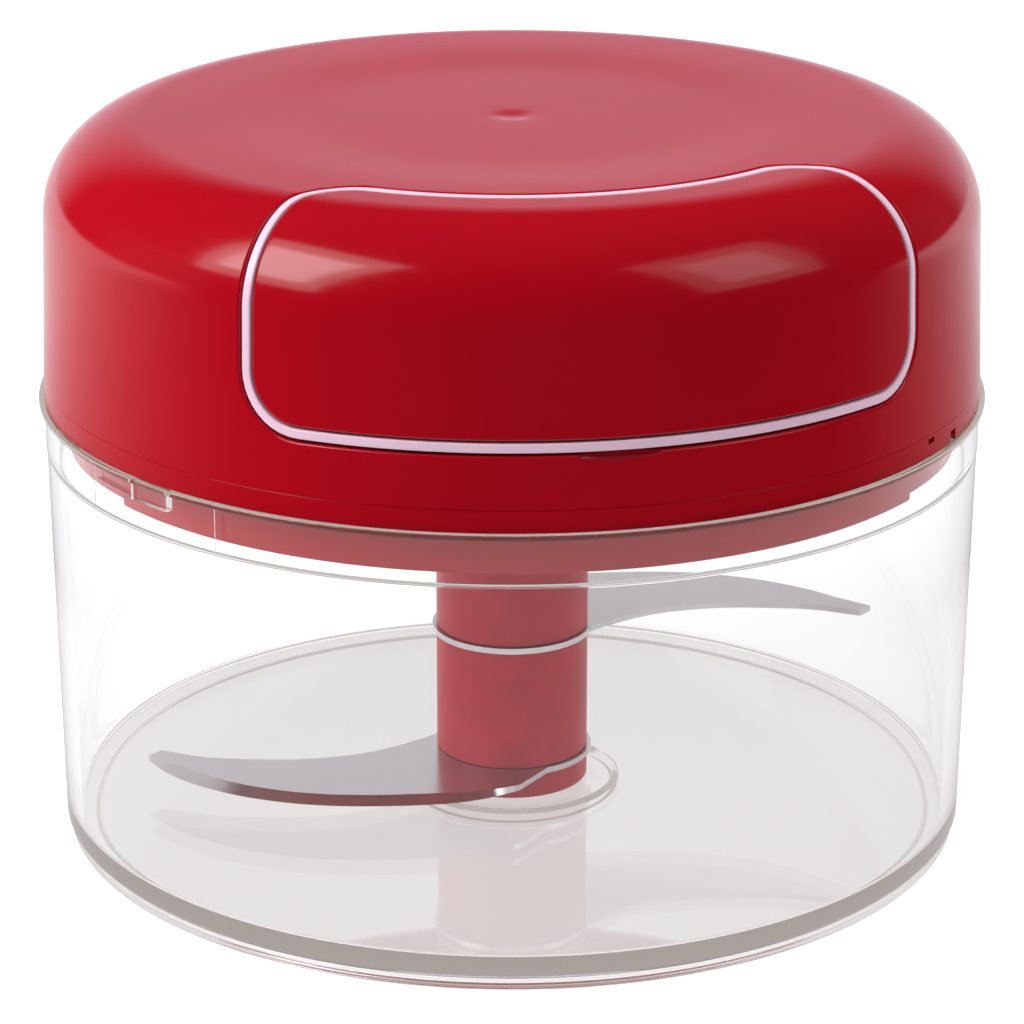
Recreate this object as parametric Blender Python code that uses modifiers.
"""Pull-string food chopper: a clear bowl, a two-blade rotor on a pin, and a red lid that
holds a cord spool, its rewind spring and the pull handle set in the lid's side.

Metres, +Z up. The origin is the centre of the bowl's foot on the table, and the pull
handle faces -Y. Azimuths are measured from -Y towards +X. The rotor and the spool turn
about Z, the handle slides along -Y and the lid lifts off along +Z.
"""

import math

import bmesh
import bpy
from mathutils import Matrix, Vector

MM = 0.001

# Fits that several pieces share
SEAT_GAP = 0.3 * MM
RUN_GAP = 0.35 * MM
CUT_OVERRUN = 3 * MM
EMBED = 0.8 * MM

# Facets of round pieces
LARGE_STEPS = 48
SMALL_STEPS = 24
SCREW_STEPS = 12
SHOULDER_STEPS = 7
FILLET_STEPS = 3
CORNER_STEPS = 4
SHARP_ANGLE = math.radians(35)
WELD_DISTANCE = 0.002 * MM

# Bowl
BOWL_HEIGHT = 61.0 * MM
BOWL_WALL = 2.0 * MM
BOWL_TOP_RADIUS = 62.3 * MM
BOWL_TAPER = 0.8 * MM
COLLAR_STEP = 0.1 * MM
COLLAR_SLOPE = 0.5 * MM
COLLAR_WALL = 1.5 * MM
COLLAR_HEIGHT = 6.8 * MM
RIM_LIP = 0.75 * MM
RIM_LIP_HEIGHT = 0.6 * MM
RIM_LIP_SLOPE = 0.3 * MM
FLOOR_THICKNESS = 3.3 * MM
FLOOR_FILLET = 0.6 * MM
FOOT_HEIGHT = 0.9 * MM
FOOT_WIDTH = 3.6 * MM
FOOT_STEP = 0.5 * MM
FOOT_STEP_HEIGHT = 1.8 * MM
FOOT_FILLET = 0.6 * MM
PIN_BOSS_RADIUS = 14.3 * MM
PIN_BOSS_DROP = 0.5 * MM
FLOOR_RING_RADIUS = 13.9 * MM
FLOOR_RING_WIDTH = 1.2 * MM
FLOOR_RING_TOP = 0.6 * MM
FLOOR_RING_HEIGHT = 0.45 * MM

# Twist lock between bowl and lid: lugs on the bowl, ridges on the lid's skirt
LOCK_COUNT = 2
LUG_AZIMUTH = math.radians(-58.55)
LUG_HALF_ANGLE = math.radians(3.3)
LUG_REACH = 1.2 * MM
LUG_HEIGHT = 3.0 * MM
LUG_DROP = 0.5 * MM
LUG_CLEARANCE = 0.4 * MM
RIDGE_LEAD = math.radians(2.0)
RIDGE_ANGLE = math.radians(8)
RIDGE_HEIGHT = 1.1 * MM

# Pivot pin and rotor
PIN_RADIUS = 2.0 * MM
PIN_LENGTH = 12.0 * MM
PIN_SOCKET = 2.2 * MM
PIN_CHAMFER = 0.5 * MM
HUB_RADIUS = 10.35 * MM
HUB_FLOOR_GAP = 0.4 * MM
HUB_HEAD_GAP = 1.3 * MM
CAP_HEIGHT = 3.2 * MM
CAP_SOCKET = 1.6 * MM
SPACER_HEIGHT = 16.3 * MM
CORE_WIDTH = 8.0 * MM
STEM_WIDTH = 7.0 * MM
STEM_LENGTH = 8.5 * MM
STEM_CHAMFER = 0.8 * MM

# Blades: sickles that point away from each other, one outline for both
BLADE_THICKNESS = 0.8 * MM
BLADE_CLEARANCE = 9.3 * MM
BLADE_ROOT_RADIUS = 10.9 * MM
BLADE_REST_ANGLE = math.radians(175.2)
ROOT_ARC_START = math.radians(-18)
ROOT_ARC_END = math.radians(-250)
ROOT_ARC_STEPS = 8
CUTTING_EDGE_SHARES = (
    (0.015, 0.315),
    (0.120, 0.363),
    (0.243, 0.384),
    (0.442, 0.375),
    (0.606, 0.340),
    (0.749, 0.275),
    (0.866, 0.188),
    (0.942, 0.104),
)
TIP_CORNER_SHARE = (0.964, -0.033)
BACK_EDGE_SHARES = (
    (0.847, 0.028),
    (0.731, 0.055),
    (0.592, 0.072),
    (0.448, 0.058),
    (0.340, 0.018),
    (0.250, -0.036),
)
BLADE_CURVE_STEPS = 3

# Lid base: flange, floor plate, skirt and the sleeve that is bearing and spring arbor
RIM_GAP = 0.3 * MM
FLANGE_RECESS = 0.1 * MM
FLANGE_HEIGHT = 3.2 * MM
PLATE_THICKNESS = 2.2 * MM
SKIRT_DEPTH = 6.3 * MM
SKIRT_WALL = 1.9 * MM
SKIRT_SHORTER = 1.0 * MM
SKIRT_NOTCH_START = math.radians(46)
SKIRT_NOTCH_ANGLE = math.radians(68)
RIB_WALL = 1.6 * MM
RIB_HEIGHT = 2.3 * MM
SLEEVE_WALL = 2.0 * MM
SLEEVE_DROP = 3.0 * MM

# Lid shell: leaning wall, elliptical shoulder, shallow dish on top
LID_HEADROOM = 9.14 * MM
LID_OVERHANG = 0.1 * MM
LID_LEAN = 0.87 * MM
LID_WALL = 2.2 * MM
SHOULDER_WIDTH = 13.0 * MM
SHOULDER_HEIGHT = 12.05 * MM
DISH_DEPTH = 0.4 * MM
DISH_FLOOR_SHARE = 0.55
DISH_EDGE_SHARE = 0.86

# Handle recess in the lid, and the handle that fills it
RECESS_HALF_WIDTH = 46.9 * MM
RECESS_SILL_RISE = 6.15 * MM
RECESS_DEPTH = 20.05 * MM
RECESS_WALL = 2.0 * MM
RECESS_LOW_CORNER = 8.2 * MM
RECESS_TOP_CORNER = 10.0 * MM
HANDLE_GAP = 0.4 * MM
HANDLE_RIM = 1.2 * MM
HANDLE_WALL = 1.6 * MM
HANDLE_DEPTH = 9.0 * MM
COVER_THICKNESS = 2.2 * MM
COVER_BOSS_SHARE = 0.75
NICK_WIDTH = 10.0 * MM
NICK_HEIGHT = 1.6 * MM
NICK_DEPTH = 1.4 * MM

# Cord, its spool and its eyelet
CORD_RADIUS = 1.0 * MM
CORD_LEVEL_DROP = 4.06 * MM
CORD_TURN_COUNT = 3.6
CORD_TURN_STEPS = 24
CORD_TURN_GAP = 0.6 * MM
CORD_POINT_SPACING = 4.0 * MM
RUN_INNER_SHARE = 0.5
RUN_OUTER_SHARE = 0.6
DRUM_RADIUS = 17.0 * MM
DRUM_END_GAP = 0.5 * MM
SPOOL_CLEARANCE = 8.65 * MM
TOP_FLANGE_RADIUS = 24.0 * MM
FLANGE_THICKNESS = 1.5 * MM
CUP_WALL = 1.5 * MM
CUP_FLOOR = 1.2 * MM
ANCHOR_LENGTH = 3.0 * MM
EYELET_WALL = 1.2 * MM
EYELET_FLANGE = 1.5 * MM
EYELET_FLANGE_THICKNESS = 0.9 * MM
EYELET_SETBACK = 1.2 * MM
KNOT_RADIUS = 2.6 * MM
CORD_BOSS_WALL = 1.4 * MM
CORD_BOSS_LENGTH = 8.6 * MM
CORD_BOSS_FLOOR = 3.0 * MM

# Rewind spring
SPRING_HEIGHT = 6.0 * MM
SPRING_STRIP = 0.4 * MM
SPRING_TURN_COUNT = 6
SPRING_TURN_STEPS = 20

# Drive coupling and top bearing
COUPLING_RADIUS = 6.5 * MM
SOCKET_END_GAP = 0.6 * MM
COUPLING_HEAD_GAP = 0.3 * MM
KEY_WIDTH = 2.0 * MM
KEY_HEIGHT = 0.9 * MM
KEY_LENGTH = 5.0 * MM
WEB_THICKNESS = 2.0 * MM
PILOT_RADIUS = 4.6 * MM
PILOT_LENGTH = 1.4 * MM
WASHER_WIDTH = 3.8 * MM
WASHER_THICKNESS = 1.0 * MM

# Screws
SCREW_RADIUS = 1.1 * MM
SCREW_HEAD_RADIUS = 2.6 * MM
SCREW_HEAD_HEIGHT = 1.7 * MM
SCREW_POINT = 1.2 * MM
BOSS_WALL = 2.2 * MM
COUPLING_SCREW_LENGTH = 9.0 * MM
BASE_SCREW_LENGTH = 12.0 * MM
BASE_SCREW_INSET = 9.4 * MM
BASE_SCREW_AZIMUTHS = tuple(math.radians(a) for a in (70, 140, -140, -70))
HANDLE_SCREW_LENGTH = 5.2 * MM
HANDLE_SCREW_OFFSET = 15.0 * MM
HANDLE_SCREW_SKIN = 1.0 * MM
HANDLE_SCREW_HEAD_RADIUS = 3.6 * MM
HANDLE_POST_HEIGHT = 3.0 * MM
HANDLE_POST_WALL = 1.2 * MM

# Places that follow from the sizes above
FLOOR_TOP = FOOT_HEIGHT + FLOOR_THICKNESS
BOWL_FOOT_RADIUS = BOWL_TOP_RADIUS - BOWL_TAPER
BLADE_REACH = BOWL_FOOT_RADIUS - BOWL_WALL - BLADE_CLEARANCE
COLLAR_RADIUS = BOWL_TOP_RADIUS + COLLAR_STEP
COLLAR_INNER_RADIUS = COLLAR_RADIUS - COLLAR_WALL
COLLAR_BOTTOM = BOWL_HEIGHT - COLLAR_HEIGHT
CAP_BOTTOM = FLOOR_TOP + HUB_FLOOR_GAP
CAP_TOP = CAP_BOTTOM + CAP_HEIGHT
LOWER_BLADE_BOTTOM = CAP_TOP + SEAT_GAP
SPACER_BOTTOM = LOWER_BLADE_BOTTOM + BLADE_THICKNESS + SEAT_GAP
SPACER_TOP = SPACER_BOTTOM + SPACER_HEIGHT
UPPER_BLADE_BOTTOM = SPACER_TOP + SEAT_GAP
HUB_BOTTOM = UPPER_BLADE_BOTTOM + BLADE_THICKNESS + SEAT_GAP
FLANGE_BOTTOM = BOWL_HEIGHT + RIM_GAP
FLANGE_TOP = FLANGE_BOTTOM + FLANGE_HEIGHT
PLATE_BOTTOM = FLANGE_TOP - PLATE_THICKNESS
SLEEVE_BOTTOM = PLATE_BOTTOM - SLEEVE_DROP
HUB_TOP = SLEEVE_BOTTOM - HUB_HEAD_GAP
STEM_TOP = HUB_TOP + STEM_LENGTH
SHELL_BOTTOM = FLANGE_TOP + SEAT_GAP
LID_RADIUS = COLLAR_RADIUS + LID_OVERHANG
RECESS_BACK_RADIUS = LID_RADIUS - RECESS_DEPTH
RECESS_SILL = FLANGE_TOP + RECESS_SILL_RISE
SPOOL_RADIUS = RECESS_BACK_RADIUS - RECESS_WALL - SPOOL_CLEARANCE
SKIRT_RADIUS = COLLAR_INNER_RADIUS - LUG_REACH - LUG_CLEARANCE
SKIRT_INNER_RADIUS = SKIRT_RADIUS - SKIRT_WALL
SLEEVE_INNER_RADIUS = COUPLING_RADIUS + RUN_GAP
SLEEVE_RADIUS = SLEEVE_INNER_RADIUS + SLEEVE_WALL
SPRING_COVER_BOTTOM = FLANGE_TOP + SEAT_GAP + SEAT_GAP
CUP_BOTTOM = SPRING_COVER_BOTTOM + CUP_FLOOR + SEAT_GAP
SPRING_BOTTOM = CUP_BOTTOM + SEAT_GAP
CUP_TOP = SPRING_BOTTOM + SPRING_HEIGHT + SEAT_GAP
SLEEVE_TOP = CUP_TOP - SEAT_GAP
WINDING_RADIUS = DRUM_RADIUS + CORD_RADIUS + SEAT_GAP
TURN_PITCH = 2 * CORD_RADIUS + CORD_TURN_GAP
DRUM_BOTTOM = CUP_TOP + FLANGE_THICKNESS
WINDING_BOTTOM = DRUM_BOTTOM + DRUM_END_GAP + CORD_RADIUS
WINDING_TOP = WINDING_BOTTOM + CORD_TURN_COUNT * TURN_PITCH
CORD_LEVEL = WINDING_TOP - CORD_LEVEL_DROP
DRUM_TOP = WINDING_TOP + CORD_RADIUS + DRUM_END_GAP
SPOOL_TOP = DRUM_TOP + FLANGE_THICKNESS
LID_TOP = SPOOL_TOP + LID_HEADROOM
WEB_TOP = SPOOL_TOP - PILOT_LENGTH - 2 * SEAT_GAP - SCREW_HEAD_HEIGHT
COUPLING_TOP = WEB_TOP - WEB_THICKNESS - COUPLING_HEAD_GAP
WASHER_BOTTOM = SPOOL_TOP + SEAT_GAP
POST_BOTTOM = WASHER_BOTTOM + WASHER_THICKNESS + SEAT_GAP
RECESS_SURFACE_RADIUS = LID_RADIUS - LID_LEAN / 2
SCREW_HOLE_RADIUS = SCREW_RADIUS + SEAT_GAP


def remove_everything():
    """Empties the file that Blender starts with."""
    for item in list(bpy.data.objects):
        bpy.data.objects.remove(item, do_unlink=True)


def make_collection(name):
    """Adds a collection to the scene."""
    collection = bpy.data.collections.new(name)
    bpy.context.scene.collection.children.link(collection)
    return collection


def linear(channel):
    """One sRGB channel, 0 to 255, as a linear value."""
    value = channel / 255
    if value <= 0.04045:
        return value / 12.92
    return ((value + 0.055) / 1.055) ** 2.4


def make_material(name, colour, roughness, metallic=0.0, alpha=1.0, transmission=0.0):
    """A Principled material from an sRGB colour."""
    material = bpy.data.materials.new(name)
    material.use_nodes = True
    shader = material.node_tree.nodes["Principled BSDF"]
    shader.inputs["Base Color"].default_value = (*(linear(c) for c in colour), 1.0)
    shader.inputs["Roughness"].default_value = roughness
    shader.inputs["Metallic"].default_value = metallic
    shader.inputs["Alpha"].default_value = alpha
    shader.inputs["Transmission Weight"].default_value = transmission
    return material


def clear_plastic(name):
    """Water-clear moulded plastic."""
    return make_material(name, (240, 243, 242), 0.05, alpha=0.3, transmission=1.0)


def red_plastic(name):
    """Gloss red moulded plastic of the lid and the handle."""
    return make_material(name, (176, 8, 20), 0.2)


def white_plastic(name):
    """Plain white moulded plastic."""
    return make_material(name, (236, 226, 238), 0.35)


def steel(name):
    """Polished stainless steel."""
    return make_material(name, (190, 188, 188), 0.22, metallic=1.0)


def dark_spring_steel(name):
    """Blued spring strip."""
    return make_material(name, (92, 94, 104), 0.3, metallic=1.0)


def cord_white(name):
    """Braided nylon cord."""
    return make_material(name, (228, 228, 224), 0.7)


class Workshop:
    """Holds the two collections and the empties that the moving pieces hang on."""

    def __init__(self):
        self.pieces = make_collection("pull_string_chopper")
        self.cutters = make_collection("chopper_cutters")
        self.axes = {}

    def axis(self, name, place, parent=None):
        """An empty on a joint's axis, which carries the pieces that move there."""
        empty = bpy.data.objects.new(name, None)
        empty.location = place
        self.pieces.objects.link(empty)
        if parent is not None:
            hang(empty, self.axes[parent])
        self.axes[name] = empty
        bpy.context.view_layer.update()
        return empty

    def add(self, item, material, axis=None):
        """Puts a finished piece in the model, with its material and the axis it hangs on."""
        item.data.materials.clear()
        item.data.materials.append(material(item.name + "_finish"))
        if any(modifier.type == "BOOLEAN" for modifier in item.modifiers):
            weld = item.modifiers.new("Close seams", "WELD")
            weld.merge_threshold = WELD_DISTANCE
        self.pieces.objects.link(item)
        if axis is not None:
            hang(item, self.axes[axis])
        return item

    def cutter(self, item):
        """Puts a helper shape where it is never rendered or built."""
        item.hide_render = True
        item.display_type = "WIRE"
        self.cutters.objects.link(item)
        return item


def hang(item, empty):
    """Parents an item to an empty and leaves it where it is."""
    item.parent = empty
    item.matrix_parent_inverse = empty.matrix_world.inverted()


def object_from(bm, name):
    """A mesh object from a bmesh, which is freed."""
    bmesh.ops.recalc_face_normals(bm, faces=bm.faces)
    mesh = bpy.data.meshes.new(name)
    bm.to_mesh(mesh)
    bm.free()
    return bpy.data.objects.new(name, mesh)


def turned(name, profile, steps, closed=False):
    """A piece turned about Z from (radius, height) points that run down its outer side."""
    edges = [(i, i + 1) for i in range(len(profile) - 1)]
    if closed:
        edges.append((len(profile) - 1, 0))
    mesh = bpy.data.meshes.new(name)
    mesh.from_pydata([(r, 0, z) for r, z in profile], edges, [])
    item = bpy.data.objects.new(name, mesh)
    screw = item.modifiers.new("Turn", "SCREW")
    screw.axis = "Z"
    screw.angle = 2 * math.pi
    screw.steps = steps
    screw.render_steps = steps
    screw.use_merge_vertices = True
    screw.merge_threshold = WELD_DISTANCE
    screw.use_smooth_shade = True
    return item


def rod(name, radius, start, end, steps=SMALL_STEPS):
    """A plain cylinder between two points."""
    bm = bmesh.new()
    span = Vector(end) - Vector(start)
    bmesh.ops.create_cone(
        bm, cap_ends=True, segments=steps, radius1=radius, radius2=radius, depth=span.length
    )
    turn = Vector((0, 0, 1)).rotation_difference(span).to_matrix().to_4x4()
    middle = (Vector(start) + Vector(end)) / 2
    bmesh.ops.transform(bm, matrix=Matrix.Translation(middle) @ turn, verts=bm.verts)
    return object_from(bm, name)


def box(name, low, high):
    """A plain box between two corners."""
    bm = bmesh.new()
    bmesh.ops.create_cube(bm, size=1)
    low, high = Vector(low), Vector(high)
    bmesh.ops.scale(bm, vec=high - low, verts=bm.verts)
    bmesh.ops.translate(bm, vec=(high + low) / 2, verts=bm.verts)
    return object_from(bm, name)


def around(radius, azimuth, height):
    """The point at a radius, azimuth and height."""
    return Vector((radius * math.sin(azimuth), -radius * math.cos(azimuth), height))


def wrapped_block(name, azimuths, radii, heights, corner=None):
    """A box in azimuth, radius and height, bent round Z.

    It is made flat, with X as arc length at the lid's radius, and corner rounds two of its
    upright edges at the small radius ("back") or two of its lower edges ("low").
    """
    scale = RECESS_SURFACE_RADIUS
    low = Vector((azimuths[0] * scale, -radii[1], heights[0]))
    high = Vector((azimuths[1] * scale, -radii[0], heights[1]))
    bm = bmesh.new()
    bmesh.ops.create_cube(bm, size=1)
    bmesh.ops.scale(bm, vec=high - low, verts=bm.verts)
    bmesh.ops.translate(bm, vec=(high + low) / 2, verts=bm.verts)
    if corner is not None:
        place, size = corner
        along, across, sign = (2, 1, 1) if place == "back" else (1, 2, -1)
        centre = (high + low) / 2
        edges = [
            edge
            for edge in bm.edges
            if edge.verts[0].co[along] != edge.verts[1].co[along]
            and (edge.verts[0].co[across] - centre[across]) * sign > 0
        ]
        bmesh.ops.bevel(
            bm, geom=edges, offset=size, segments=CORNER_STEPS, profile=0.5, affect="EDGES"
        )
    step = 2 * math.pi / LARGE_STEPS
    first = math.ceil(azimuths[0] / step)
    last = math.floor(azimuths[1] / step)
    for k in range(first, last):
        everything = bm.verts[:] + bm.edges[:] + bm.faces[:]
        middle = (k * step + step / 2) * scale
        bmesh.ops.bisect_plane(bm, geom=everything, plane_co=(middle, 0, 0), plane_no=(1, 0, 0))
    for vertex in bm.verts:
        vertex.co = around(-vertex.co.y, vertex.co.x / scale, vertex.co.z)
    bmesh.ops.triangulate(bm, faces=bm.faces)
    return object_from(bm, name)


def boolean(item, operand, operation="DIFFERENCE"):
    """Cuts, joins or crosses an item with another."""
    modifier = item.modifiers.new(operation.title(), "BOOLEAN")
    modifier.operation = operation
    modifier.object = operand
    modifier.solver = "EXACT"
    return item


def joined(items, name):
    """Several plain mesh objects as one cutter of separate bodies."""
    bm = bmesh.new()
    for item in items:
        bm.from_mesh(item.data)
        bpy.data.objects.remove(item)
    return object_from(bm, name)


def arc(centre, radii, start, end, steps):
    """Points of a quarter or other arc, from start to end, both in radians."""
    points = []
    for i in range(steps + 1):
        angle = start + (end - start) * i / steps
        points.append(
            (centre[0] + radii[0] * math.cos(angle), centre[1] + radii[1] * math.sin(angle))
        )
    return points


def wall_radius(height):
    """The lid's outer radius on its leaning wall."""
    share = (height - FLANGE_BOTTOM) / (LID_TOP - SHOULDER_HEIGHT - FLANGE_BOTTOM)
    return LID_RADIUS - LID_LEAN * share


def dome_points(inset, bottom):
    """Half section of the lid's outside, moved inwards by inset, from the axis to bottom."""
    flat_radius = LID_RADIUS - LID_LEAN - SHOULDER_WIDTH
    shoulder = LID_TOP - SHOULDER_HEIGHT
    top = LID_TOP - inset
    points = [
        (0, top - DISH_DEPTH),
        (flat_radius * DISH_FLOOR_SHARE, top - DISH_DEPTH),
        (flat_radius * DISH_EDGE_SHARE, top),
    ]
    points += arc(
        (flat_radius, shoulder),
        (SHOULDER_WIDTH - inset, SHOULDER_HEIGHT - inset),
        math.pi / 2,
        0,
        SHOULDER_STEPS,
    )
    points.append((wall_radius(bottom) - inset, bottom))
    points.append((0, bottom))
    return points


def dome(name, inset, bottom):
    """The lid's outside as a solid, moved inwards by inset."""
    return turned(name, dome_points(inset, bottom), LARGE_STEPS)


def recess_block(shop, name, inset, top=LID_TOP + CUT_OVERRUN):
    """The handle recess as a solid up to a top, its outline moved inwards by inset."""
    half = (RECESS_HALF_WIDTH - inset) / RECESS_SURFACE_RADIUS
    back = RECESS_BACK_RADIUS + inset
    front = LID_RADIUS + CUT_OVERRUN
    sill = RECESS_SILL + inset
    plan = wrapped_block(
        name,
        (-half, half),
        (back, front),
        (sill, top),
        ("back", RECESS_TOP_CORNER - inset),
    )
    low = wrapped_block(
        name + "_low_corners",
        (-half, half),
        (back - CUT_OVERRUN, front + CUT_OVERRUN),
        (sill, top + CUT_OVERRUN),
        ("low", RECESS_LOW_CORNER - inset),
    )
    boolean(plan, shop.cutter(low), "INTERSECT")
    return shop.cutter(plan)


def screw_profile(length, head_radius):
    """Half section of a pan-head screw: the head's top is at zero, the point below."""
    crown = SCREW_HEAD_HEIGHT / 3
    return [
        (0, 0),
        (head_radius - crown, 0),
        (head_radius, -crown),
        (head_radius, -SCREW_HEAD_HEIGHT),
        (SCREW_RADIUS, -SCREW_HEAD_HEIGHT),
        (SCREW_RADIUS, -SCREW_HEAD_HEIGHT - length + SCREW_POINT),
        (0, -SCREW_HEAD_HEIGHT - length),
    ]


def screw_at(name, length, top, direction, head_radius=SCREW_HEAD_RADIUS):
    """A pan-head screw. Top is the middle of its head, direction the way its point goes."""
    screw = turned(name, screw_profile(length, head_radius), SCREW_STEPS)
    screw.location = top
    screw.rotation_mode = "QUATERNION"
    screw.rotation_quaternion = Vector((0, 0, -1)).rotation_difference(Vector(direction))
    return screw


def make_bowl(shop):
    """The clear bowl: foot ring, floor with the pin's boss, wall, collar, lip and lugs."""
    underside = FOOT_HEIGHT
    foot_radius = BOWL_FOOT_RADIUS - FOOT_STEP
    inner_foot = BOWL_FOOT_RADIUS - BOWL_WALL
    hole = PIN_RADIUS + SEAT_GAP
    profile = [
        (0, FLOOR_TOP - PIN_SOCKET),
        (hole, FLOOR_TOP - PIN_SOCKET),
        (hole, FLOOR_TOP),
        (FLOOR_RING_RADIUS - FLOOR_RING_WIDTH / 2, FLOOR_TOP),
        (FLOOR_RING_RADIUS - FLOOR_RING_TOP / 2, FLOOR_TOP + FLOOR_RING_HEIGHT),
        (FLOOR_RING_RADIUS + FLOOR_RING_TOP / 2, FLOOR_TOP + FLOOR_RING_HEIGHT),
        (FLOOR_RING_RADIUS + FLOOR_RING_WIDTH / 2, FLOOR_TOP),
    ]
    profile += arc(
        (inner_foot - FLOOR_FILLET, FLOOR_TOP + FLOOR_FILLET),
        (FLOOR_FILLET, FLOOR_FILLET),
        -math.pi / 2,
        0,
        FILLET_STEPS,
    )
    profile += [
        (BOWL_TOP_RADIUS - BOWL_WALL, COLLAR_BOTTOM - COLLAR_SLOPE),
        (COLLAR_INNER_RADIUS, COLLAR_BOTTOM),
        (COLLAR_INNER_RADIUS, BOWL_HEIGHT),
        (COLLAR_RADIUS + RIM_LIP, BOWL_HEIGHT),
        (COLLAR_RADIUS + RIM_LIP, BOWL_HEIGHT - RIM_LIP_HEIGHT),
        (COLLAR_RADIUS, BOWL_HEIGHT - RIM_LIP_HEIGHT - RIM_LIP_SLOPE),
        (COLLAR_RADIUS, COLLAR_BOTTOM),
        (BOWL_TOP_RADIUS, COLLAR_BOTTOM - COLLAR_SLOPE),
        (BOWL_FOOT_RADIUS, FOOT_STEP_HEIGHT + FOOT_STEP),
        (foot_radius, FOOT_STEP_HEIGHT),
    ]
    profile += arc(
        (foot_radius - FOOT_FILLET, FOOT_FILLET),
        (FOOT_FILLET, FOOT_FILLET),
        0,
        -math.pi / 2,
        FILLET_STEPS,
    )
    profile += [
        (foot_radius - FOOT_WIDTH, 0),
        (foot_radius - FOOT_WIDTH, underside),
        (PIN_BOSS_RADIUS, underside),
        (PIN_BOSS_RADIUS, underside - PIN_BOSS_DROP),
        (0, underside - PIN_BOSS_DROP),
    ]
    bowl = turned("bowl", profile, LARGE_STEPS)
    top = BOWL_HEIGHT - LUG_DROP
    for i in range(LOCK_COUNT):
        middle = LUG_AZIMUTH + i * 2 * math.pi / LOCK_COUNT
        lug = wrapped_block(
            f"lug_{i}",
            (middle - LUG_HALF_ANGLE, middle + LUG_HALF_ANGLE),
            (COLLAR_INNER_RADIUS - LUG_REACH, COLLAR_INNER_RADIUS + EMBED),
            (top - LUG_HEIGHT, top),
        )
        boolean(bowl, shop.cutter(lug), "UNION")
    return shop.add(bowl, clear_plastic)


def make_pivot_pin(shop):
    """The steel pin that stands in the bowl's floor and carries the rotor."""
    bottom = FLOOR_TOP - PIN_SOCKET + SEAT_GAP
    top = bottom + PIN_LENGTH
    profile = [
        (0, top),
        (PIN_RADIUS - PIN_CHAMFER, top),
        (PIN_RADIUS, top - PIN_CHAMFER),
        (PIN_RADIUS, bottom),
        (0, bottom),
    ]
    return shop.add(turned("pivot_pin", profile, SMALL_STEPS), steel)


def square_hole(shop, name, width, bottom, top):
    """A cutter for a square hole on the axis, turned with the rotor."""
    half = width / 2
    hole = box(name, (-half, -half, bottom), (half, half, top))
    hole.data.transform(Matrix.Rotation(BLADE_REST_ANGLE, 4, "Z"))
    return shop.cutter(hole)


def make_blade_hub(shop):
    """Upper hub, its square core down through both blades, and the square stem on top."""
    core_bottom = CAP_TOP - CAP_SOCKET + SEAT_GAP
    bore_top = FLOOR_TOP - PIN_SOCKET + PIN_LENGTH + 2 * SEAT_GAP
    bore = PIN_RADIUS + RUN_GAP
    hub = rod("blade_hub", HUB_RADIUS, (0, 0, HUB_BOTTOM), (0, 0, HUB_TOP), LARGE_STEPS)
    core = square_hole(shop, "hub_core", CORE_WIDTH, core_bottom, HUB_BOTTOM + EMBED)
    stem = square_hole(shop, "hub_stem", STEM_WIDTH, HUB_TOP - EMBED, STEM_TOP)
    bevel = stem.modifiers.new("Lead-in", "BEVEL")
    bevel.width = STEM_CHAMFER
    bevel.segments = 1
    bevel.limit_method = "ANGLE"
    boolean(hub, core, "UNION")
    boolean(hub, stem, "UNION")
    hole = rod("hub_bore", bore, (0, 0, core_bottom - CUT_OVERRUN), (0, 0, bore_top))
    boolean(hub, shop.cutter(hole))
    return shop.add(hub, red_plastic, "rotor_axis")


def make_hub_ring(shop, name, bottom, top, socket_bottom):
    """A hub piece with a square hole from socket_bottom upwards."""
    ring = rod(name, HUB_RADIUS, (0, 0, bottom), (0, 0, top), LARGE_STEPS)
    width = CORE_WIDTH + 2 * SEAT_GAP
    boolean(ring, square_hole(shop, name + "_socket", width, socket_bottom, top + CUT_OVERRUN))
    return shop.add(ring, red_plastic, "rotor_axis")


def make_hub_stack(shop):
    """The spacer between the blades and the cap under the lower one."""
    make_hub_ring(shop, "hub_spacer", SPACER_BOTTOM, SPACER_TOP, SPACER_BOTTOM - CUT_OVERRUN)
    cap = make_hub_ring(shop, "hub_end_cap", CAP_BOTTOM, CAP_TOP, CAP_TOP - CAP_SOCKET)
    start = (0, 0, CAP_BOTTOM - CUT_OVERRUN)
    hole = rod("cap_bore", PIN_RADIUS + RUN_GAP, start, (0, 0, CAP_TOP + CUT_OVERRUN))
    boolean(cap, shop.cutter(hole))


def blade_outline():
    """The sickle's outline, from its blunt tip on +X along back edge, root and cutting edge."""
    corner = (TIP_CORNER_SHARE[0] * BLADE_REACH, TIP_CORNER_SHARE[1] * BLADE_REACH)
    points = [(BLADE_REACH, 0), corner]
    points += [(x * BLADE_REACH, y * BLADE_REACH) for x, y in BACK_EDGE_SHARES]
    for i in range(ROOT_ARC_STEPS + 1):
        share = i / ROOT_ARC_STEPS
        angle = ROOT_ARC_START + (ROOT_ARC_END - ROOT_ARC_START) * share
        points.append(
            (BLADE_ROOT_RADIUS * math.cos(angle), BLADE_ROOT_RADIUS * math.sin(angle))
        )
    points += [(x * BLADE_REACH, y * BLADE_REACH) for x, y in CUTTING_EDGE_SHARES]
    return points


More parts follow.
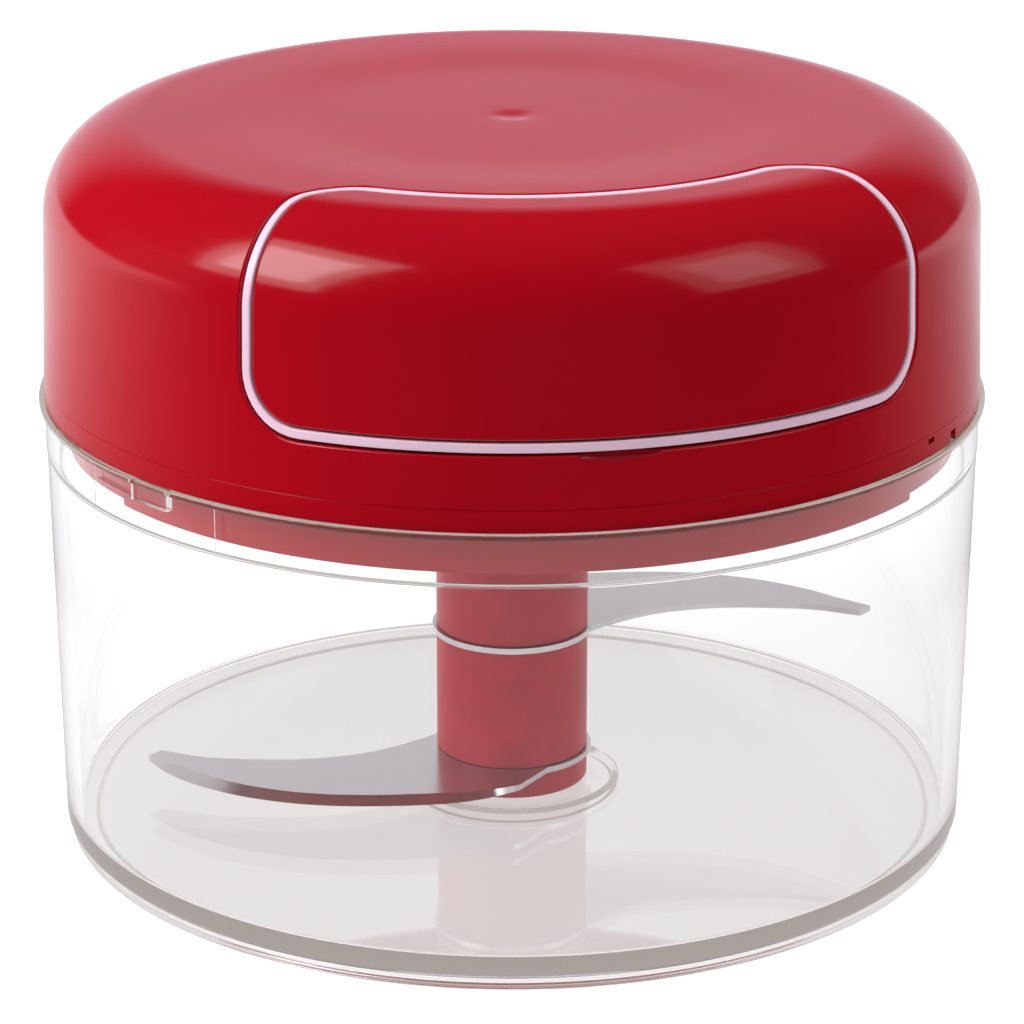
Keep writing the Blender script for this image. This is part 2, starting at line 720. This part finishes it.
def make_blade(shop, name, bottom, turn):
    """One steel sickle blade with a square hole, turned to its place on the hub."""
    curve = bpy.data.curves.new(name, "CURVE")
    curve.dimensions = "2D"
    curve.fill_mode = "BOTH"
    curve.extrude = BLADE_THICKNESS / 2
    curve.resolution_u = BLADE_CURVE_STEPS
    edge = curve.splines.new("BEZIER")
    outline = blade_outline()
    edge.bezier_points.add(len(outline) - 1)
    for point, (x, y) in zip(edge.bezier_points, outline):
        point.co = (x, y, 0)
        point.handle_left_type = "AUTO"
        point.handle_right_type = "AUTO"
    for corner in edge.bezier_points[:2]:
        corner.handle_left_type = "VECTOR"
        corner.handle_right_type = "VECTOR"
    edge.use_cyclic_u = True
    half = CORE_WIDTH / 2 + SEAT_GAP
    hole = curve.splines.new("POLY")
    hole.points.add(3)
    for point, (x, y) in zip(hole.points, ((1, 1), (-1, 1), (-1, -1), (1, -1))):
        point.co = (x * half, y * half, 0, 1)
    hole.use_cyclic_u = True
    blade = bpy.data.objects.new(name, curve)
    blade.location = (0, 0, bottom + BLADE_THICKNESS / 2)
    blade.rotation_euler = (0, 0, BLADE_REST_ANGLE + turn)
    return shop.add(blade, steel, "rotor_axis")


def make_lid_base(shop):
    """Flange on the bowl's rim, floor plate, skirt and rib, and the middle sleeve."""
    skirt_bottom = FLANGE_BOTTOM - SKIRT_DEPTH
    flange_radius = LID_RADIUS - FLANGE_RECESS
    rib_radius = wall_radius(SHELL_BOTTOM) - LID_WALL - SEAT_GAP
    profile = [
        (rib_radius - RIB_WALL, FLANGE_TOP + RIB_HEIGHT),
        (rib_radius, FLANGE_TOP + RIB_HEIGHT),
        (rib_radius, FLANGE_TOP),
        (flange_radius, FLANGE_TOP),
        (flange_radius, FLANGE_BOTTOM),
        (SKIRT_RADIUS, FLANGE_BOTTOM),
        (SKIRT_RADIUS, skirt_bottom),
        (SKIRT_INNER_RADIUS, skirt_bottom),
        (SKIRT_INNER_RADIUS, PLATE_BOTTOM),
        (SLEEVE_RADIUS, PLATE_BOTTOM),
        (SLEEVE_RADIUS, SLEEVE_BOTTOM),
        (SLEEVE_INNER_RADIUS, SLEEVE_BOTTOM),
        (SLEEVE_INNER_RADIUS, SLEEVE_TOP),
        (SLEEVE_RADIUS, SLEEVE_TOP),
        (SLEEVE_RADIUS, FLANGE_TOP),
        (rib_radius - RIB_WALL, FLANGE_TOP),
    ]
    base = turned("lid_base", profile, LARGE_STEPS, closed=True)
    lug_bottom = BOWL_HEIGHT - LUG_DROP - LUG_HEIGHT
    ridge_top = lug_bottom - SEAT_GAP
    for i in range(LOCK_COUNT):
        turn = i * 2 * math.pi / LOCK_COUNT
        end = LUG_AZIMUTH - LUG_HALF_ANGLE - RIDGE_LEAD + turn
        ridge = wrapped_block(
            f"ridge_{i}",
            (end - RIDGE_ANGLE, end),
            (SKIRT_RADIUS - EMBED, COLLAR_INNER_RADIUS - LUG_CLEARANCE),
            (ridge_top - RIDGE_HEIGHT, ridge_top),
        )
        boolean(base, shop.cutter(ridge), "UNION")
        notch = wrapped_block(
            f"notch_{i}",
            (SKIRT_NOTCH_START + turn, SKIRT_NOTCH_START + SKIRT_NOTCH_ANGLE + turn),
            (SKIRT_INNER_RADIUS - CUT_OVERRUN, SKIRT_RADIUS + CUT_OVERRUN),
            (skirt_bottom - CUT_OVERRUN, skirt_bottom + SKIRT_SHORTER),
        )
        boolean(base, shop.cutter(notch))
    holes = [
        rod(
            f"base_hole_{i}",
            SCREW_HOLE_RADIUS,
            around(base_screw_radius(), azimuth, PLATE_BOTTOM - CUT_OVERRUN),
            around(base_screw_radius(), azimuth, FLANGE_TOP + CUT_OVERRUN),
            SCREW_STEPS,
        )
        for i, azimuth in enumerate(BASE_SCREW_AZIMUTHS)
    ]
    boolean(base, shop.cutter(joined(holes, "base_holes")))
    return shop.add(base, red_plastic, "lid_axis")


def base_screw_radius():
    """How far from the axis the screws stand that join the lid's two halves."""
    return LID_RADIUS - BASE_SCREW_INSET


def make_lid_shell(shop):
    """The red dome with its handle recess, screw bosses, top bearing post and holes."""
    cavity = shop.cutter(dome("lid_cavity", LID_WALL, SHELL_BOTTOM - CUT_OVERRUN))
    boolean(cavity, recess_block(shop, "recess_walls", -RECESS_WALL))
    ceiling = LID_TOP + CUT_OVERRUN
    boss_radius = SCREW_HOLE_RADIUS + BOSS_WALL
    bosses = [
        rod(
            f"boss_{i}",
            boss_radius,
            around(base_screw_radius(), azimuth, SHELL_BOTTOM - 2 * CUT_OVERRUN),
            around(base_screw_radius(), azimuth, ceiling),
            SCREW_STEPS,
        )
        for i, azimuth in enumerate(BASE_SCREW_AZIMUTHS)
    ]
    boolean(cavity, shop.cutter(joined(bosses, "screw_bosses")))
    washer_inner = PILOT_RADIUS + RUN_GAP
    post_profile = [
        (0, ceiling),
        (washer_inner + WASHER_WIDTH, ceiling),
        (washer_inner + WASHER_WIDTH, POST_BOTTOM),
        (PILOT_RADIUS, POST_BOTTOM),
        (PILOT_RADIUS, SPOOL_TOP - PILOT_LENGTH),
        (0, SPOOL_TOP - PILOT_LENGTH),
    ]
    boolean(cavity, shop.cutter(turned("top_bearing_post", post_profile, SMALL_STEPS)))
    shell = dome("lid_shell", 0, SHELL_BOTTOM)
    boolean(shell, cavity)
    boolean(shell, recess_block(shop, "recess", 0))
    holes = [
        rod(
            f"boss_hole_{i}",
            SCREW_HOLE_RADIUS,
            around(base_screw_radius(), azimuth, SHELL_BOTTOM - CUT_OVERRUN),
            around(base_screw_radius(), azimuth, PLATE_BOTTOM + BASE_SCREW_LENGTH + SEAT_GAP),
            SCREW_STEPS,
        )
        for i, azimuth in enumerate(BASE_SCREW_AZIMUTHS)
    ]
    boolean(shell, shop.cutter(joined(holes, "boss_holes")))
    reach = RECESS_BACK_RADIUS - RECESS_WALL
    eyelet_hole = rod(
        "eyelet_hole",
        eyelet_radius() + SEAT_GAP,
        (0, -reach + CUT_OVERRUN, CORD_LEVEL),
        (0, -RECESS_BACK_RADIUS - CUT_OVERRUN, CORD_LEVEL),
    )
    boolean(shell, shop.cutter(eyelet_hole))
    nick = bmesh.new()
    bmesh.ops.create_uvsphere(nick, u_segments=SMALL_STEPS, v_segments=SCREW_STEPS, radius=1)
    size = Vector((NICK_WIDTH / 2, NICK_DEPTH, NICK_HEIGHT))
    bmesh.ops.scale(nick, vec=size, verts=nick.verts)
    place = around(wall_radius(RECESS_SILL), 0, RECESS_SILL)
    bmesh.ops.translate(nick, vec=place, verts=nick.verts)
    boolean(shell, shop.cutter(object_from(nick, "finger_nick")))
    return shop.add(shell, red_plastic, "lid_axis")


def make_base_screws(shop):
    """The screws that hold the lid's base to its shell, driven from below."""
    height = PLATE_BOTTOM - SEAT_GAP - SCREW_HEAD_HEIGHT
    for i, azimuth in enumerate(BASE_SCREW_AZIMUTHS, 1):
        top = around(base_screw_radius(), azimuth, height)
        screw = screw_at(f"base_screw_{i}", BASE_SCREW_LENGTH, top, (0, 0, 1))
        shop.add(screw, steel, "lid_axis")


def eyelet_radius():
    """Outer radius of the eyelet's body."""
    return CORD_RADIUS + RUN_GAP + EYELET_WALL


def make_cord_eyelet(shop):
    """The flanged bush in the recess wall that the cord runs through."""
    bore = CORD_RADIUS + RUN_GAP
    front = RECESS_BACK_RADIUS + SEAT_GAP
    back = RECESS_BACK_RADIUS - RECESS_WALL - EYELET_SETBACK
    profile = [
        (bore, front + EYELET_FLANGE_THICKNESS),
        (eyelet_radius() + EYELET_FLANGE, front + EYELET_FLANGE_THICKNESS),
        (eyelet_radius() + EYELET_FLANGE, front),
        (eyelet_radius(), front),
        (eyelet_radius(), back),
        (bore, back),
    ]
    eyelet = turned("cord_eyelet", profile, SMALL_STEPS, closed=True)
    eyelet.rotation_euler = (math.pi / 2, 0, 0)
    eyelet.location = (0, 0, CORD_LEVEL)
    return shop.add(eyelet, white_plastic, "lid_axis")


def make_rewind_spring(shop):
    """The flat spiral spring, from the sleeve's outside to the spool cup's wall."""
    inner = SLEEVE_RADIUS + SEAT_GAP + SPRING_STRIP / 2
    outer = SPOOL_RADIUS - CUP_WALL - SEAT_GAP - SPRING_STRIP / 2
    count = SPRING_TURN_COUNT * SPRING_TURN_STEPS
    bm = bmesh.new()
    path = []
    for i in range(count + 1):
        share = i / count
        radius = inner + (outer - inner) * share
        path.append(bm.verts.new(around(radius, 2 * math.pi * SPRING_TURN_COUNT * share, SPRING_BOTTOM)))
    edges = [bm.edges.new(pair) for pair in zip(path, path[1:])]
    grown = bmesh.ops.extrude_edge_only(bm, edges=edges)["geom"]
    upper = [part for part in grown if isinstance(part, bmesh.types.BMVert)]
    bmesh.ops.translate(bm, vec=(0, 0, SPRING_HEIGHT), verts=upper)
    spring = object_from(bm, "rewind_spring")
    strip = spring.modifiers.new("Strip", "SOLIDIFY")
    strip.thickness = SPRING_STRIP
    strip.offset = 0
    return shop.add(spring, dark_spring_steel, "lid_axis")


def make_thrust_washer(shop):
    """The washer between the spool and the lid's post."""
    inner = PILOT_RADIUS + RUN_GAP
    profile = [
        (inner, WASHER_BOTTOM + WASHER_THICKNESS),
        (inner + WASHER_WIDTH, WASHER_BOTTOM + WASHER_THICKNESS),
        (inner + WASHER_WIDTH, WASHER_BOTTOM),
        (inner, WASHER_BOTTOM),
    ]
    washer = turned("thrust_washer", profile, SMALL_STEPS, closed=True)
    return shop.add(washer, white_plastic, "lid_axis")


def make_spool(shop):
    """The cord drum over the spring's cup, keyed to the drive coupling."""
    bore = COUPLING_RADIUS + SEAT_GAP
    recess = PILOT_RADIUS + RUN_GAP
    cup_inner = SPOOL_RADIUS - CUP_WALL
    profile = [
        (recess, SPOOL_TOP),
        (TOP_FLANGE_RADIUS, SPOOL_TOP),
        (TOP_FLANGE_RADIUS, DRUM_TOP),
        (DRUM_RADIUS, DRUM_TOP),
        (DRUM_RADIUS, DRUM_BOTTOM),
        (SPOOL_RADIUS, DRUM_BOTTOM),
        (SPOOL_RADIUS, CUP_BOTTOM),
        (cup_inner, CUP_BOTTOM),
        (cup_inner, CUP_TOP),
        (bore, CUP_TOP),
        (bore, WEB_TOP - WEB_THICKNESS),
        (SCREW_HOLE_RADIUS, WEB_TOP - WEB_THICKNESS),
        (SCREW_HOLE_RADIUS, WEB_TOP),
        (recess, WEB_TOP),
    ]
    spool = turned("spool", profile, LARGE_STEPS, closed=True)
    half = KEY_WIDTH / 2 + SEAT_GAP
    slot = box(
        "key_slot",
        (0, -half, COUPLING_TOP - KEY_LENGTH - SEAT_GAP),
        (COUPLING_RADIUS + KEY_HEIGHT + SEAT_GAP, half, COUPLING_TOP + COUPLING_HEAD_GAP / 2),
    )
    boolean(spool, shop.cutter(slot))
    start = winding_start_angle()
    anchor = box(
        "cord_anchor",
        (DRUM_RADIUS - EMBED, -ANCHOR_LENGTH, WINDING_BOTTOM - CORD_RADIUS),
        (WINDING_RADIUS + CORD_RADIUS, 0, WINDING_BOTTOM + CORD_RADIUS),
    )
    anchor.data.transform(Matrix.Rotation(start, 4, "Z"))
    back = 2 * CORD_RADIUS + SEAT_GAP
    heading = Vector((-math.sin(start), math.cos(start), 0))
    anchor.data.transform(Matrix.Translation(-heading * back))
    boolean(spool, shop.cutter(anchor), "UNION")
    return shop.add(spool, white_plastic, "spool_axis")


def make_spring_cover(shop):
    """The disc that closes the spring's cup from below."""
    inner = SLEEVE_RADIUS + RUN_GAP
    profile = [
        (inner, SPRING_COVER_BOTTOM + CUP_FLOOR),
        (SPOOL_RADIUS, SPRING_COVER_BOTTOM + CUP_FLOOR),
        (SPOOL_RADIUS, SPRING_COVER_BOTTOM),
        (inner, SPRING_COVER_BOTTOM),
    ]
    cover = turned("spring_cover", profile, LARGE_STEPS, closed=True)
    return shop.add(cover, white_plastic, "spool_axis")


def make_drive_coupling(shop):
    """The shaft from the spool down to the square socket for the rotor's stem."""
    bottom = SLEEVE_BOTTOM + SEAT_GAP
    screw_end = WEB_TOP - COUPLING_SCREW_LENGTH
    profile = [
        (0, screw_end),
        (SCREW_HOLE_RADIUS, screw_end),
        (SCREW_HOLE_RADIUS, COUPLING_TOP),
        (COUPLING_RADIUS, COUPLING_TOP),
        (COUPLING_RADIUS, bottom),
        (0, bottom),
    ]
    coupling = turned("drive_coupling", profile, LARGE_STEPS)
    key = box(
        "coupling_key",
        (COUPLING_RADIUS - EMBED, -KEY_WIDTH / 2, COUPLING_TOP - KEY_LENGTH),
        (COUPLING_RADIUS + KEY_HEIGHT, KEY_WIDTH / 2, COUPLING_TOP - SEAT_GAP),
    )
    boolean(coupling, shop.cutter(key), "UNION")
    width = STEM_WIDTH + 2 * SEAT_GAP
    top = STEM_TOP + SOCKET_END_GAP
    boolean(coupling, square_hole(shop, "drive_socket", width, bottom - CUT_OVERRUN, top))
    return shop.add(coupling, white_plastic, "spool_axis")


def make_coupling_screw(shop):
    """The screw that holds the coupling up against the spool's web."""
    top = (0, 0, WEB_TOP + SEAT_GAP + SCREW_HEAD_HEIGHT)
    screw = screw_at("coupling_screw", COUPLING_SCREW_LENGTH, top, (0, 0, -1))
    return shop.add(screw, steel, "spool_axis")


def cord_bend():
    """Where the cord turns to run straight out through the eyelet."""
    bend = RECESS_BACK_RADIUS - RECESS_WALL - EYELET_SETBACK - 2 * CORD_RADIUS
    return Vector((0, -bend, CORD_LEVEL))


def leaving_angle():
    """Angle from +X of the point where the cord leaves the drum."""
    return math.pi + math.asin(WINDING_RADIUS / -cord_bend().y)


def winding_start_angle():
    """Angle from +X of the winding's first full point on the drum."""
    return leaving_angle() - 2 * math.pi * CORD_TURN_COUNT


def winding_points():
    """One helix on the drum, straight for a cord's diameter at each end."""
    count = round(CORD_TURN_COUNT * CORD_TURN_STEPS)
    first, last = winding_start_angle(), leaving_angle()
    points = []
    for i in range(count + 1):
        share = i / count
        angle = first + (last - first) * share
        height = WINDING_BOTTOM + (WINDING_TOP - WINDING_BOTTOM) * share
        points.append(
            Vector((WINDING_RADIUS * math.cos(angle), WINDING_RADIUS * math.sin(angle), height))
        )
    heading = Vector((-math.sin(first), math.cos(first), 0))
    lead = (cord_bend() - points[-1]).normalized()
    stub = 2 * CORD_RADIUS
    return [points[0] - heading * stub] + points + [points[-1] + lead * stub]


def least_gap(points, apart):
    """Least distance between points of a path at least apart points from each other."""
    gaps = [
        (points[i] - points[j]).length
        for i in range(len(points))
        for j in range(i + apart, len(points))
    ]
    return min(gaps)


def smooth_path(route, spacing):
    """Evenly read points of a Catmull-Rom curve through a route."""
    ends = [2 * route[0] - route[1]] + list(route) + [2 * route[-1] - route[-2]]
    points = []
    for a, b, c, d in zip(ends, ends[1:], ends[2:], ends[3:]):
        count = max(1, round((c - b).length / spacing))
        for i in range(count):
            t = i / count
            points.append(
                (
                    2 * b
                    + (c - a) * t
                    + (2 * a - 5 * b + 4 * c - d) * t**2
                    + (3 * b - a - 3 * c + d) * t**3
                )
                / 2
            )
    return points + [route[-1]]


def cord_object(name, points, resolution):
    """A cord along points, as a round tube with closed ends."""
    curve = bpy.data.curves.new(name, "CURVE")
    curve.dimensions = "3D"
    curve.bevel_depth = CORD_RADIUS
    curve.bevel_resolution = resolution
    curve.use_fill_caps = True
    spline = curve.splines.new("POLY")
    spline.points.add(len(points) - 1)
    for point, place in zip(spline.points, points):
        point.co = (*place, 1)
    return bpy.data.objects.new(name, curve)


def make_cord_winding(shop):
    """The cord wound on the drum, one unbroken tube."""
    points = winding_points()
    gap = least_gap(points, CORD_TURN_STEPS // 2) - 2 * CORD_RADIUS
    print(f"cord_winding: least gap between its turns {gap / MM:.2f} mm")
    return shop.add(cord_object("cord_winding", points, 1), cord_white, "spool_axis")


def knot_place():
    """The middle of the knot, in the handle's cord boss."""
    return Vector((0, -cord_boss_back() - CORD_BOSS_FLOOR - SEAT_GAP - KNOT_RADIUS, CORD_LEVEL))


def make_cord_run(shop):
    """The cord from the drum through the eyelet to the knot in the handle."""
    stop = winding_points()[-1]
    bend = cord_bend()
    lead = (bend - stop).normalized()
    start = stop + lead * SEAT_GAP
    turn = 4 * CORD_RADIUS
    end = knot_place() + Vector((0, KNOT_RADIUS + SEAT_GAP, 0))
    route = [start, start.lerp(bend, RUN_INNER_SHARE), bend - lead * turn]
    route += [bend + Vector((0, -2 * CORD_RADIUS, 0)), bend.lerp(end, RUN_OUTER_SHARE), end]
    points = smooth_path(route, CORD_POINT_SPACING)
    wound = winding_points()
    length = sum((b - a).length for a, b in zip(wound, wound[1:]))
    length += sum((b - a).length for a, b in zip(points, points[1:]))
    print(f"cord: {length:.3f} m from its anchor to the handle's knot")
    return shop.add(cord_object("cord_run", points, 2), cord_white, "lid_axis")


def cover_inner_radius():
    """Inside radius of the handle's cover at the cord."""
    return wall_radius(CORD_LEVEL) - COVER_THICKNESS


def panel_inner_radius():
    """Inside radius of the handle frame's panel at the cord."""
    return cover_inner_radius() - SEAT_GAP - HANDLE_WALL


def cord_boss_back():
    """How far from the axis the handle's cord boss ends."""
    return panel_inner_radius() - CORD_BOSS_LENGTH


def handle_screw_azimuths():
    """Left and right of the cord, where screws hold the handle's cover to its frame."""
    azimuth = HANDLE_SCREW_OFFSET / wall_radius(CORD_LEVEL)
    return (-azimuth, azimuth)


def handle_post_end():
    """How far from the axis the frame's screw posts end."""
    return panel_inner_radius() - HANDLE_POST_HEIGHT


def handle_boss_radius():
    """Outer radius of the cover's screw bosses."""
    return SCREW_HOLE_RADIUS + BOSS_WALL / 2


def make_handle_cover(shop):
    """The red outer skin of the handle, flush with the lid, with two screw bosses."""
    inset = HANDLE_GAP + HANDLE_RIM + SEAT_GAP
    cover = dome("handle_cover", 0, RECESS_SILL - CUT_OVERRUN)
    boolean(cover, recess_block(shop, "cover_outline", inset), "INTERSECT")
    inside = dome("cover_inside", COVER_THICKNESS, RECESS_SILL - 2 * CUT_OVERRUN)
    boolean(cover, shop.cutter(inside))
    skin = wall_radius(CORD_LEVEL)
    for azimuth in handle_screw_azimuths():
        front = around(skin - COVER_THICKNESS * COVER_BOSS_SHARE, azimuth, CORD_LEVEL)
        back = around(handle_post_end() + SEAT_GAP, azimuth, CORD_LEVEL)
        boss = rod("cover_boss", handle_boss_radius(), front, back)
        boolean(cover, shop.cutter(boss), "UNION")
        tip = around(skin - HANDLE_SCREW_SKIN, azimuth, CORD_LEVEL)
        stop = around(handle_post_end() - CUT_OVERRUN, azimuth, CORD_LEVEL)
        boolean(cover, shop.cutter(rod("cover_boss_hole", SCREW_HOLE_RADIUS, tip, stop)))
    return shop.add(cover, red_plastic, "handle_axis")


def make_handle_frame(shop):
    """The white tray behind the cover: its rim is the white line, its back takes fingers."""
    frame = dome("handle_frame", 0, RECESS_SILL - CUT_OVERRUN)
    boolean(frame, recess_block(shop, "frame_outline", HANDLE_GAP), "INTERSECT")
    seat_depth = COVER_THICKNESS + SEAT_GAP
    seat = recess_block(shop, "cover_seat", HANDLE_GAP + HANDLE_RIM)
    below_seat = dome("below_seat", seat_depth, RECESS_SILL - 2 * CUT_OVERRUN)
    boolean(seat, shop.cutter(below_seat))
    boolean(frame, seat)
    hollow_top = LID_TOP + 2 * CUT_OVERRUN
    hollow = recess_block(shop, "finger_hollow", HANDLE_GAP + HANDLE_WALL, hollow_top)
    above = dome("above_hollow", seat_depth + HANDLE_WALL, RECESS_SILL - 2 * CUT_OVERRUN)
    boolean(hollow, shop.cutter(above), "INTERSECT")
    boolean(frame, hollow)
    boolean(frame, shop.cutter(dome("open_back", HANDLE_DEPTH, RECESS_SILL - 2 * CUT_OVERRUN)))
    panel_middle = panel_inner_radius() + HANDLE_WALL / 2
    cavity_radius = KNOT_RADIUS + SEAT_GAP
    boss = rod(
        "cord_boss",
        cavity_radius + CORD_BOSS_WALL,
        (0, -panel_middle, CORD_LEVEL),
        (0, -cord_boss_back(), CORD_LEVEL),
    )
    boolean(frame, shop.cutter(boss), "UNION")
    floor = -cord_boss_back() - CORD_BOSS_FLOOR
    front = -cover_inner_radius() - CUT_OVERRUN
    room = rod("knot_room", cavity_radius, (0, floor, CORD_LEVEL), (0, front, CORD_LEVEL))
    boolean(frame, shop.cutter(room))
    back = -cord_boss_back() + CUT_OVERRUN
    mouth = rod(
        "cord_mouth", CORD_RADIUS + RUN_GAP, (0, back, CORD_LEVEL), (0, floor - EMBED, CORD_LEVEL)
    )
    boolean(frame, shop.cutter(mouth))
    clear = handle_boss_radius() + SEAT_GAP
    for azimuth in handle_screw_azimuths():
        middle = around(panel_middle, azimuth, CORD_LEVEL)
        end = around(handle_post_end(), azimuth, CORD_LEVEL)
        post = rod("screw_post", clear + HANDLE_POST_WALL, middle, end)
        boolean(frame, shop.cutter(post), "UNION")
        outside = around(LID_RADIUS, azimuth, CORD_LEVEL)
        inside = around(handle_post_end() - CUT_OVERRUN, azimuth, CORD_LEVEL)
        boolean(frame, shop.cutter(rod("boss_pass", clear, outside, inside)))
    return shop.add(frame, white_plastic, "handle_axis")


def make_handle_screws(shop):
    """The two screws behind the handle."""
    head = handle_post_end() - SEAT_GAP - SCREW_HEAD_HEIGHT
    for side, azimuth in zip(("left", "right"), handle_screw_azimuths()):
        screw = screw_at(
            f"handle_screw_{side}",
            HANDLE_SCREW_LENGTH,
            around(head, azimuth, CORD_LEVEL),
            around(head, azimuth, 0),
            HANDLE_SCREW_HEAD_RADIUS,
        )
        shop.add(screw, steel, "handle_axis")


def make_cord_knot(shop):
    """The knot that holds the cord in the handle."""
    bm = bmesh.new()
    bmesh.ops.create_uvsphere(
        bm, u_segments=SCREW_STEPS, v_segments=SCREW_STEPS // 2, radius=KNOT_RADIUS
    )
    bmesh.ops.translate(bm, vec=knot_place(), verts=bm.verts)
    return shop.add(object_from(bm, "cord_knot"), cord_white, "handle_axis")


def smooth_round_pieces(shop):
    """Shades the plain mesh pieces smooth, with their edges left sharp."""
    for item in shop.pieces.objects:
        if item.type == "MESH" and item.data.polygons:
            item.data.shade_smooth()
            item.data.set_sharp_from_angle(angle=SHARP_ANGLE)


def main():
    """Builds the chopper, from the bowl up."""
    remove_everything()
    shop = Workshop()
    shop.axis("rotor_axis", (0, 0, FLOOR_TOP))
    shop.axis("lid_axis", (0, 0, FLANGE_BOTTOM))
    shop.axis("spool_axis", (0, 0, SLEEVE_TOP), "lid_axis")
    shop.axis("handle_axis", (0, -RECESS_BACK_RADIUS, CORD_LEVEL), "lid_axis")
    make_bowl(shop)
    make_pivot_pin(shop)
    make_blade_hub(shop)
    make_hub_stack(shop)
    make_blade(shop, "lower_blade", LOWER_BLADE_BOTTOM, 0)
    make_blade(shop, "upper_blade", UPPER_BLADE_BOTTOM, math.pi)
    make_lid_base(shop)
    make_lid_shell(shop)
    make_base_screws(shop)
    make_cord_eyelet(shop)
    make_rewind_spring(shop)
    make_thrust_washer(shop)
    make_spool(shop)
    make_spring_cover(shop)
    make_drive_coupling(shop)
    make_coupling_screw(shop)
    make_cord_winding(shop)
    make_cord_run(shop)
    make_handle_cover(shop)
    make_handle_frame(shop)
    make_handle_screws(shop)
    make_cord_knot(shop)
    smooth_round_pieces(shop)


main()
